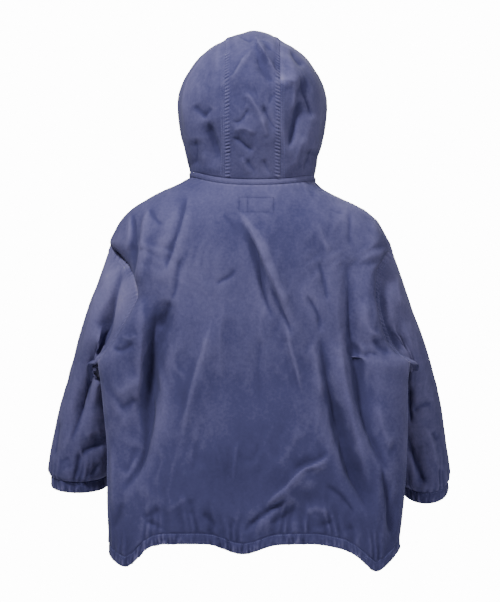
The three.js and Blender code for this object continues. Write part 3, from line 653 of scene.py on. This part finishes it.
def shell(cloth, name, thickness, material, sides=(), seams=()):
    """Makes the piece's mesh: its outer face, its inner face and the rims between them."""
    # pale where ridges are rubbed, and painted shade where the cloth lies in hollows
    wear_and_shade = ridge_wear_and_hollow_shade(cloth)
    seam = np.zeros(wear_and_shade.shape)
    for side, width in seams:
        seam = np.maximum(seam, ease(1.5 - cloth.edge[side] / (width * MM)))
    p, normal = under_next(cloth.p, cloth.normals(), sides)
    values = {"wear_and_shade": padded_like(wear_and_shade, sides), "seam": padded_like(seam, sides)}
    across, down = along(cloth.rest, 1).mean(axis=0), along(cloth.rest, 0).mean(axis=1)
    u = padded_like(np.repeat(across[None], len(down), 0), sides)
    v = padded_like(np.repeat(down[:, None], len(across), 1), sides)
    rows, columns = p.shape[:2]
    inner = p - normal * thickness
    points = np.concatenate([p.reshape(-1, 3), inner.reshape(-1, 3)])
    index = np.arange(rows * columns).reshape(rows, columns)
    if cloth.round:
        index = np.concatenate([index, index[:, :1]], axis=1)
    back = index + rows * columns

    def quads(a, b, c, d):
        return np.stack([a, b, c, d], axis=-1).reshape(-1, 4)

    faces = [
        quads(index[:-1, :-1], index[1:, :-1], index[1:, 1:], index[:-1, 1:]),
        quads(back[:-1, :-1], back[:-1, 1:], back[1:, 1:], back[1:, :-1]),
        quads(index[0, :-1], index[0, 1:], back[0, 1:], back[0, :-1]),
        quads(index[-1, 1:], index[-1, :-1], back[-1, :-1], back[-1, 1:]),
    ]
    if not cloth.round:
        faces.append(quads(index[1:, 0], index[:-1, 0], back[:-1, 0], back[1:, 0]))
        faces.append(quads(index[:-1, -1], index[1:, -1], back[1:, -1], back[:-1, -1]))
    mesh = mesh_of(name, points, np.concatenate(faces))
    for key, value in values.items():
        layer = mesh.attributes.new(key, "FLOAT", "POINT")
        layer.data.foreach_set("value", np.tile(value.reshape(-1), 2).astype(np.float32))
    uv = np.tile(np.stack([u, v], axis=-1).reshape(-1, 2), (2, 1))
    corners = np.zeros(len(mesh.loops), int)
    mesh.loops.foreach_get("vertex_index", corners)
    mesh.uv_layers.new(name="cut").data.foreach_set("uv", uv[corners].astype(np.float32).reshape(-1))
    return made(name, mesh, material)


def mesh_of(name, points, faces):
    mesh = bpy.data.meshes.new(name)
    size = faces.shape[1]
    mesh.vertices.add(len(points))
    mesh.vertices.foreach_set("co", points.astype(np.float32).reshape(-1))
    mesh.loops.add(faces.size)
    mesh.loops.foreach_set("vertex_index", faces.astype(np.int32).reshape(-1))
    mesh.polygons.add(len(faces))
    mesh.polygons.foreach_set("loop_start", np.arange(0, faces.size, size, dtype=np.int32))
    mesh.polygons.foreach_set("use_smooth", np.ones(len(faces), bool))
    mesh.update(calc_edges=True)
    mesh.validate()
    return mesh


def made(name, mesh, material):
    piece = bpy.data.objects.new(name, mesh)
    bpy.context.scene.collection.objects.link(piece)
    mesh.materials.append(material)
    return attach(piece, "root")


# Thread


STITCH = {"pitch": 3.4, "length": 2.7, "width": 0.75, "height": 0.45}


def lane(cloth, side, distance, span=(0, 1)):
    """The line on the cloth that runs along one edge at a distance, and the normals on it."""
    away = cloth.edge[side]
    p, n = cloth.p, cloth.normals()
    if side in ("top", "bottom"):
        away, p, n = away.T, np.swapaxes(p, 0, 1), np.swapaxes(n, 0, 1)
    if side in ("right", "bottom"):
        away, p, n = away[:, ::-1], p[:, ::-1], n[:, ::-1]
    if cloth.round:
        away, p, n = (np.concatenate([v, v[:1]]) for v in (away, p, n))
    place = [np.interp(distance * MM, a, np.arange(len(a))) for a in away]
    low = np.floor(place).astype(int).clip(0, away.shape[1] - 2)
    share = (np.array(place) - low)[:, None]
    row = np.arange(len(low))
    points = p[row, low] * (1 - share) + p[row, low + 1] * share
    first, last = (int(round(s * (len(low) - 1))) for s in span)
    return points[first : last + 1], n[row, low][first : last + 1]


def read_line(line, run, places):
    """The points or normals at some places along a line, from the distance run at each of its own."""
    return np.stack([np.interp(places, run, line[:, k]) for k in range(3)], axis=-1)


def stitches(lines, name, material):
    """Short thread stitches, each a slim raised lozenge, along each line of points and normals."""
    points, faces = [], []
    shape = np.array([[-1, 0, 0], [0, 1, 0], [1, 0, 0], [0, -1, 0], [0, 0, 1], [0, 0, -1]], float)
    triangles = [(0, 3, 4), (3, 2, 4), (2, 1, 4), (1, 0, 4), (3, 0, 5), (2, 3, 5), (1, 2, 5), (0, 1, 5)]
    size = np.array([STITCH["length"] / 2, STITCH["width"] / 2, STITCH["height"]]) * MM
    for line, normal in lines:
        run = np.concatenate([[0], np.cumsum(np.linalg.norm(np.diff(line, axis=0), axis=1))])
        at = np.arange(1.7 * MM, run[-1] - 1.5 * MM, STITCH["pitch"] * MM)
        centre, up = read_line(line, run, at), unit(read_line(normal, run, at))
        ahead = unit(read_line(line, run, at + 1.2 * MM) - read_line(line, run, at - 1.2 * MM))
        side = unit(np.cross(up, ahead))
        local = shape * size
        for c, a, s, n in zip(centre, ahead, side, up):
            faces += [[len(points) + k for k in t] for t in triangles]
            points += list(c + local @ np.stack([a, s, n]) + n * 0.08 * MM)
    return made(name, mesh_of(name, np.array(points), np.array(faces)), material)


def on_cloth(cloth, path, step=2.0):
    """A line drawn on the cloth through places seen from behind, x and z in mm."""
    seen = cloth.seen().reshape(-1, 2)
    p, n = cloth.p.reshape(-1, 3), cloth.normals().reshape(-1, 3)
    line = []
    for (x1, z1), (x2, z2) in zip(path, path[1:]):
        count = max(2, int(math.hypot(x2 - x1, z2 - z1) / step))
        line += [(x1 + (x2 - x1) * k / count, z1 + (z2 - z1) * k / count) for k in range(count + 1)]
    points, normals = [], []
    for place in np.array(line) * MM:
        d = np.sum((seen - place) ** 2, axis=1)
        near = np.argpartition(d, 4)[:4]
        w = 1 / (d[near] + 1e-9)
        points.append((p[near] * w[:, None]).sum(axis=0) / w.sum())
        normals.append((n[near] * w[:, None]).sum(axis=0) / w.sum())
    return np.array(points), unit(np.array(normals))


# Materials


def linear(hex_colour):
    """A colour's linear values from its sRGB hex value."""
    values = [int(hex_colour[k : k + 2], 16) / 255 for k in (1, 3, 5)]
    return (*(v / 12.92 if v <= 0.04045 else ((v + 0.055) / 1.055) ** 2.4 for v in values), 1)


def node(tree, kind, settings=None, **inputs):
    """Adds one node, with its settings (a colour ramp's stops too), and with its inputs set or
    linked. In an input's name a double underline stands for a space, and in_0 is the first input."""
    made_node = tree.nodes.new(kind)
    settings = dict(settings or {})
    stops = settings.pop("stops", ())
    for key, value in settings.items():
        setattr(made_node, key, value)
    for k, (place, colour) in enumerate(stops):
        elements = made_node.color_ramp.elements
        element = elements[k] if k < len(elements) else elements.new(place)
        element.position, element.color = place, colour
    for key, value in inputs.items():
        socket = made_node.inputs[int(key[3:]) if key.startswith("in_") else key.replace("__", " ")]
        if isinstance(value, bpy.types.NodeSocket):
            tree.links.new(value, socket)
        else:
            socket.default_value = value
    return made_node


def shader(name):
    material = bpy.data.materials.new(name)
    material.use_nodes = True
    material.node_tree.nodes.clear()
    return material, material.node_tree


NAVY = {"deep": "#17183A", "body": "#38385F", "faded": "#646188", "ridge_wear_and_hollow_shade": "#8B8499"}
NAVY_STOPS = [(0.0, "deep"), (0.4, "body"), (0.75, "faded"), (1.0, "ridge_wear_and_hollow_shade")]
TWILL_PITCH = 1.5 * MM  # the real diagonals lie about 0.8 mm apart, too fine to show


def dyed_twill(name, fade=0.0):
    """Cotton twill, woven, then dyed as a finished garment and long in use: a dry matt face with a slight
    bloom, darkened in its hollows by painted shade, and pale where it stands up and is rubbed, both above
    all along its puckered seams."""
    material, tree = shader(name)
    # this attribute carries rubbed paleness on ridges and painted shade in the hollows
    wear_and_shade = node(tree, "ShaderNodeAttribute", {"attribute_name": "wear_and_shade"}).outputs["Fac"]
    seam = node(tree, "ShaderNodeAttribute", {"attribute_name": "seam"}).outputs["Fac"]
    place = node(tree, "ShaderNodeTexCoord").outputs
    cloudy = node(tree, "ShaderNodeTexNoise", Vector=place["Object"], Scale=7.0, Detail=2.5, Roughness=0.5)
    mottled = node(tree, "ShaderNodeTexNoise", Vector=place["Object"], Scale=170.0, Detail=4.0, Roughness=0.6)
    # the rubbed pale ridges and the painted shade in the hollows both show more beside a seam than in the
    # open cloth
    gain = node(tree, "ShaderNodeMath", {"operation": "MULTIPLY_ADD"}, in_0=seam, in_1=0.5, in_2=0.34)
    edge = node(tree, "ShaderNodeMath", {"operation": "MULTIPLY"}, in_0=wear_and_shade, in_1=gain.outputs[0])
    cloud = node(
        tree, "ShaderNodeMath", {"operation": "MULTIPLY_ADD"},
        in_0=cloudy.outputs["Fac"], in_1=0.42, in_2=0.15 + fade,
    )
    speck = node(
        tree, "ShaderNodeMath", {"operation": "MULTIPLY_ADD"},
        in_0=mottled.outputs["Fac"], in_1=0.2, in_2=cloud.outputs[0],
    )
    height = node(tree, "ShaderNodeSeparateXYZ", Vector=place["Object"]).outputs["Z"]
    # paler towards the top and darker towards the hem: partly sun-fading, partly painted light from above
    # with painted shade low down
    sunfade_and_top_light = node(
        tree, "ShaderNodeMapRange", {"interpolation_type": "SMOOTHSTEP"},
        Value=height, From__Min=-0.75, From__Max=-0.2, To__Min=-0.15, To__Max=0.02,
    )
    lifted = node(tree, "ShaderNodeMath", {"operation": "ADD"}, in_0=speck.outputs[0], in_1=sunfade_and_top_light.outputs[0])
    total = node(
        tree, "ShaderNodeMath", {"operation": "MULTIPLY_ADD", "use_clamp": True},
        in_0=edge.outputs[0], in_1=0.22, in_2=lifted.outputs[0],
    )
    stops = [(place, linear(NAVY[key])) for place, key in NAVY_STOPS]
    colour = node(tree, "ShaderNodeValToRGB", {"stops": stops}, Fac=total.outputs[0]).outputs["Color"]
    # the weave, drawn on the flat cut piece so that it follows the cloth
    cut = node(tree, "ShaderNodeUVMap", {"uv_map": "cut"}).outputs["UV"]
    turned = node(tree, "ShaderNodeMapping", Vector=cut, Rotation=(0, 0, math.radians(35)))
    weave = node(
        tree, "ShaderNodeTexWave", {"bands_direction": "X"},
        Vector=turned.outputs[0], Scale=1 / TWILL_PITCH / 10 * math.pi / 1.6, Distortion=0.6, Detail=1.0,
        Detail__Scale=3.0,
    )
    slubs = node(tree, "ShaderNodeTexNoise", Vector=cut, Scale=420.0, Detail=3.0)
    both = node(
        tree, "ShaderNodeMath", {"operation": "MULTIPLY_ADD"},
        in_0=weave.outputs["Fac"], in_1=0.6, in_2=slubs.outputs["Fac"],
    )
    bump = node(tree, "ShaderNodeBump", Height=both.outputs[0], Strength=0.34, Distance=0.0007)
    rough = node(tree, "ShaderNodeMapRange", Value=mottled.outputs["Fac"], To__Min=0.82, To__Max=0.95)
    cotton = node(tree, "ShaderNodeBsdfPrincipled")
    cotton.inputs["IOR"].default_value = 1.46
    cotton.inputs["Specular IOR Level"].default_value = 0.25
    cotton.inputs["Sheen Weight"].default_value = 0.05
    cotton.inputs["Sheen Roughness"].default_value = 0.55
    cotton.inputs["Sheen Tint"].default_value = linear("#C9CBE4")
    tree.links.new(colour, cotton.inputs["Base Color"])
    tree.links.new(rough.outputs[0], cotton.inputs["Roughness"])
    tree.links.new(bump.outputs[0], cotton.inputs["Normal"])
    node(tree, "ShaderNodeOutputMaterial", Surface=cotton.outputs[0])
    return material


def plain(name, dark, pale, scale, roughness, places=(0.3, 0.7)):
    """A matt material that shifts softly between two colours, over lumps of about 1 / scale metres."""
    material, tree = shader(name)
    place = node(tree, "ShaderNodeTexCoord").outputs["Object"]
    patchy = node(tree, "ShaderNodeTexNoise", Vector=place, Scale=scale, Detail=2.0)
    stops = list(zip(places, (linear(dark), linear(pale))))
    colour = node(tree, "ShaderNodeValToRGB", {"stops": stops}, Fac=patchy.outputs["Fac"]).outputs["Color"]
    face = node(tree, "ShaderNodeBsdfPrincipled", Base__Color=colour, Roughness=roughness)
    node(tree, "ShaderNodeOutputMaterial", Surface=face.outputs[0])
    return material


# The garment

TWILL = dyed_twill("garment_dyed_twill")
TWILL_SLEEVE = dyed_twill("garment_dyed_twill_sleeves", fade=0.09)  # paler than the body: partly more faded, partly painted light that lifts the sleeves, which face sideways and take less of the lamps' light
TWILL_CASING = dyed_twill("garment_dyed_twill_folded", fade=0.02)
# spun cotton sewing thread, dyed with the garment: a little paler than the cloth, or darker at the label
THREAD = plain("cotton_thread", "#45497C", "#6A6D9E", 40.0, 0.8)
DARK_THREAD = plain("cotton_thread_dark", "#15173A", "#26284F", 40.0, 0.8)
# the pale paper sweep that the garment is photographed on
PAPER = plain("matt_paper", "#F1F1F1", "#F6F6F6", 3.0, 0.9, (0.0, 1.0))

BODY, HOOD, BAND = (0, 0, -0.35), (0, 0, 0.15), (0, 0, -0.03)
UP, LEFT, RIGHT, AHEAD = (0, 0, 1), (-1, 0, 0), (1, 0, 0), (0, 1, 0)
SLEEVE_MIDDLE = {"left": (-0.32, 0.045, -0.4), "right": (0.32, 0.045, -0.4)}
CUFF_MIDDLE = {"left": (-0.342, 0.08, -0.58), "right": (0.342, 0.08, -0.58)}

# the place of the label, stitched through the back: each line's ends, x and z in mm as seen
LABEL_LINES = [
    ((-28, -20), (43, -21)), ((43, -49), (-28, -49)), ((-9, -18), (-9, -51)),
    ((-26, -18), (-26, -51)), ((41, -51), (41, -18)),
]
# the tacks at the hem's corners: which way each leans, and where its first stitch starts
TACKS = ((1, -268, -706), (-1, 233, -712))
SHOULDER_ROWS, ARMHOLE_END = 6, 17  # rows of the body's solids where its edges change
STEPPED_ROWS = (4, 21)  # rows of the front's solid that step down beside the armhole


def at_armhole(cloth):
    return ease((cloth.row - SHOULDER_ROWS + 1) / 1.5) * ease((ARMHOLE_END + 0.5 - cloth.row) / 1.5)


def body_edges(cloth, sewn):
    gathered(cloth, "bottom", 2.2, 30)
    for side in ("left", "right"):
        puckered(cloth, side, 0.5, 10, 6)
        puckered(cloth, side, 0.6, 7, 7, at_armhole)
        sewn(cloth, side)
    puckered(cloth, "top", 0.4, 13, 8)
    groove(cloth, "top")


def make_back():
    cloth = Cloth("back_panel", BODY, UP, (8, 7))
    creased(cloth, BACK_CREASES, 1.95)
    crumpled(cloth, 1.3)
    seen = cloth.seen()
    for start, end in LABEL_LINES:
        cloth.push(crease_height(seen, [start, end], -1.1, 2.6, 2.6))
    body_edges(cloth, felled)
    groove(cloth, "bottom", depth=0.3)
    return cloth


def make_front():
    cloth = Cloth("front_panel", BODY, RIGHT, (6, 6), evened=STEPPED_ROWS)
    creased(cloth, FRONT_CREASES, 1.5)
    crumpled(cloth, 1.3)
    body_edges(cloth, groove)
    groove(cloth, "bottom")
    return cloth


def make_sleeve(side):
    cloth = Cloth(f"sleeve_{side}", SLEEVE_MIDDLE[side], UP, (9, 8), round_=True)
    creased(cloth, SLEEVE_CREASES[f"sleeve_{side}"], 1.9, facing=-1)
    crumpled(cloth, 1.1)
    laddered(cloth, "top", 14, 1.2, 8)
    felled(cloth, "top", 14, 0.5)
    gathered(cloth, "bottom", 2.2, 30)
    groove(cloth, "bottom")
    return cloth


def make_hood_centre():
    cloth = Cloth("hood_centre", HOOD, AHEAD, (20, 8))
    creased(cloth, HOOD_CREASES, 2.1, facing=-1)
    crumpled(cloth, 1.4)
    for side in ("left", "right"):
        laddered(cloth, side)
        felled(cloth, side, 11, 0.7)
    groove(cloth, "top", "bottom")
    return cloth


def make_hood_side(side):
    cloth = Cloth(f"hood_side_{side}", HOOD, AHEAD, (16, 8))
    creased(cloth, HOOD_CREASES, 2.1, facing=-1)
    crumpled(cloth, 1.5)
    inner = "right" if side == "left" else "left"
    puckered(cloth, inner, 0.4, 6.8, 4)
    puckered(cloth, side, 0.4, 10, 6)
    groove(cloth, side, "top", "bottom")
    return cloth


def make_casing(node_name, middle, towards, per, round_=False, gathers=2.4):
    cloth = Cloth(node_name, middle, towards, per, round_=round_)
    if gathers:
        # the solid's even gathers are drawn out, and uneven ones take their place
        reach = 2 * per[1]
        wide = np.pad(cloth.p, ((0, 0), (reach, reach), (0, 0)), mode="wrap" if round_ else "reflect")
        if not round_:
            wide[:, :reach] = 2 * cloth.p[:, :1] - wide[:, :reach]
            wide[:, -reach:] = 2 * cloth.p[:, -1:] - wide[:, -reach:]
        total = np.cumsum(np.pad(wide, ((0, 0), (1, 0), (0, 0))), axis=1)
        width = 2 * reach + 1
        drawn = (total[:, width:] - total[:, :-width]) / width
        sewn = ease(cloth.edge["top"] / (8 * MM))[..., None]
        cloth.p = cloth.p + (drawn - cloth.p) * 0.75 * sewn
    groove(cloth, "top", depth=0.4)
    across = cloth.edge["bottom"] / cloth.edge["bottom"][:1]
    cloth.push(0.7 * MM * np.sin(math.pi * np.clip(across, 0, 1)))
    run, away = cloth.run["top"], cloth.edge["top"]
    spot = np.stack([run, away * 0.35, run * 0 + len(node_name) * 0.11], axis=-1)
    deep = 0.35 + 0.65 * ease(0.5 + 1.3 * noise(spot, 60 * MM, 9.0))
    wrinkles = noise(spot, 7 * MM, 6.0) + 0.7 * noise(spot, 4 * MM, 2.0)
    cloth.push(gathers * MM * wrinkles * deep)
    cloth.push(0.3 * MM * noise(cloth.rest, 7 * MM, 2.0))
    return cloth


SEAM_WIDTH = 9
pieces = {}


def add(cloth, material, thickness, sides, seams):
    piece = shell(cloth, f"{cloth.node}_cloth", thickness, material, sides, seams)
    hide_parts(cloth.node)
    pieces[cloth.node] = (piece, cloth)


for cloth in (make_back(), make_front()):
    seams = [("left", SEAM_WIDTH), ("right", SEAM_WIDTH), ("top", 4)]
    add(cloth, TWILL, CLOTH, ALL_SIDES, seams)
for side in ("left", "right"):
    add(make_sleeve(side), TWILL_SLEEVE, CLOTH, ("top", "bottom"), [("top", 3)])
add(make_hood_centre(), TWILL, CLOTH, ALL_SIDES, [("left", 7), ("right", 7)])
for side in ("left", "right"):
    seams = [("left", 8), ("right", 8), ("top", 5)]
    add(make_hood_side(side), TWILL, CLOTH, ALL_SIDES, seams)

casings = [
    make_casing("hem_back", BODY, LEFT, (10, 3)),
    make_casing("hem_front", BODY, RIGHT, (10, 3)),
    make_casing("cuff_left", CUFF_MIDDLE["left"], UP, (10, 3), round_=True),
    make_casing("cuff_right", CUFF_MIDDLE["right"], UP, (10, 3), round_=True),
    make_casing("neck_band", BAND, UP, (6, 4), round_=True, gathers=0),
    make_casing("hood_hem", HOOD, LEFT, (8, 8), gathers=0),
]
for cloth in casings:
    ends = () if cloth.round else ("left", "right")
    under = ("bottom",) if cloth.node == "hood_hem" else ("top",)
    if cloth.node == "neck_band":
        under = ("top", "bottom")
    edges = [] if cloth.node in ("neck_band", "hood_hem") else [("bottom", 12)]
    add(cloth, TWILL_CASING, CASING, (*under, *ends), edges)


# the rows of stitches along the seams: the piece, its edge, how far in (mm) and, if not all along, where
SEAMS = {
    "armhole_stitching": [("sleeve_left", "top", (2, 8, 13)), ("sleeve_right", "top", (2, 8, 13))],
    "body_seam_stitching": [
        ("back_panel", side, (2, 8), span) for side in ("left", "right") for span in ((0, 0.21), (0.64, 1))
    ],
    "hood_seam_stitching": [
        ("hood_centre", "left", (2, 6)), ("hood_centre", "right", (2, 6)),
        ("hood_side_left", "right", (2, 8)), ("hood_side_right", "left", (2, 8)),
    ],
    "band_stitching": [("neck_band", "top", (2,)), ("neck_band", "bottom", (2,))],
    "hem_stitching": [
        *((name, "top", (2,)) for name in ("hem_back", "hem_front", "cuff_left", "cuff_right")),
        ("hood_hem", "bottom", (2,)),
    ],
}
thread = {
    name: [lane(pieces[n][1], side, d, *span) for n, side, distances, *span in rows for d in distances]
    for name, rows in SEAMS.items()
}
back_cloth, hem_cloth = pieces["back_panel"][1], pieces["hem_back"][1]
thread["label_place_stitching"] = [on_cloth(back_cloth, line) for line in LABEL_LINES]
thread["corner_bartacks"] = [
    on_cloth(hem_cloth, [(x + way * step, z + 0.7 * step), (x + way * (step + 15), z + 0.7 * step - 21)])
    for way, x, z in TACKS
    for step in (0, 1.5, 3, 4.5)
]
for name, lines in thread.items():
    stitches(lines, name, DARK_THREAD if name == "label_place_stitching" else THREAD)


# Room, light and camera


def lamp(name, place, aim, size, power):
    light = bpy.data.lights.new(name, "AREA")
    light.shape, light.size, light.energy = "SQUARE", size, power
    holder = bpy.data.objects.new(name, light)
    holder.location = place
    holder.rotation_euler = (Vector(aim) - Vector(place)).to_track_quat("-Z", "Y").to_euler()
    bpy.context.scene.collection.objects.link(holder)


def make_room():
    ground, size = -1.15, 1.6
    corners = ((-size, -size), (size, -size), (size, size), (-size, size))
    points = np.array([(x, y, ground) for x, y in corners])
    mesh = mesh_of("floor", points, np.array([[0, 1, 2, 3]]))
    floor = bpy.data.objects.new("floor", mesh)
    bpy.context.scene.collection.objects.link(floor)
    mesh.materials.append(PAPER)
    world = bpy.data.worlds.new("white_room")
    bpy.context.scene.world = world
    world.use_nodes = True
    tree = world.node_tree
    tree.nodes.clear()
    seen = node(tree, "ShaderNodeLightPath").outputs["Is Camera Ray"]
    soft = node(tree, "ShaderNodeBackground", Color=(1, 1, 1, 1), Strength=0.165)
    white = node(tree, "ShaderNodeBackground", Color=(1, 1, 1, 1), Strength=14.0)
    mixed = node(tree, "ShaderNodeMixShader", in_0=seen, in_1=soft.outputs[0], in_2=white.outputs[0])
    node(tree, "ShaderNodeOutputWorld", Surface=mixed.outputs[0])
    lamp("high_left", (-1.15, -1.55, 1.95), (0, 0, -0.15), 0.4, 116)
    lamp("high_right", (2.0, -1.9, 1.7), (0, 0, -0.2), 0.7, 60)
    lamp("front_fill", (0.6, 2.6, 1.8), (0, 0, -0.2), 1.8, 70)


TALL = 1.1739  # the photograph takes in this height at the neck's distance


def make_camera():
    camera = bpy.data.cameras.new("camera")
    camera.lens = camera.sensor_width * -EYE.y / TALL
    holder = bpy.data.objects.new("camera", camera)
    holder.location = EYE
    holder.rotation_euler = (math.radians(90), 0, 0)
    bpy.context.scene.collection.objects.link(holder)
    bpy.context.scene.camera = holder


make_room()
make_camera()
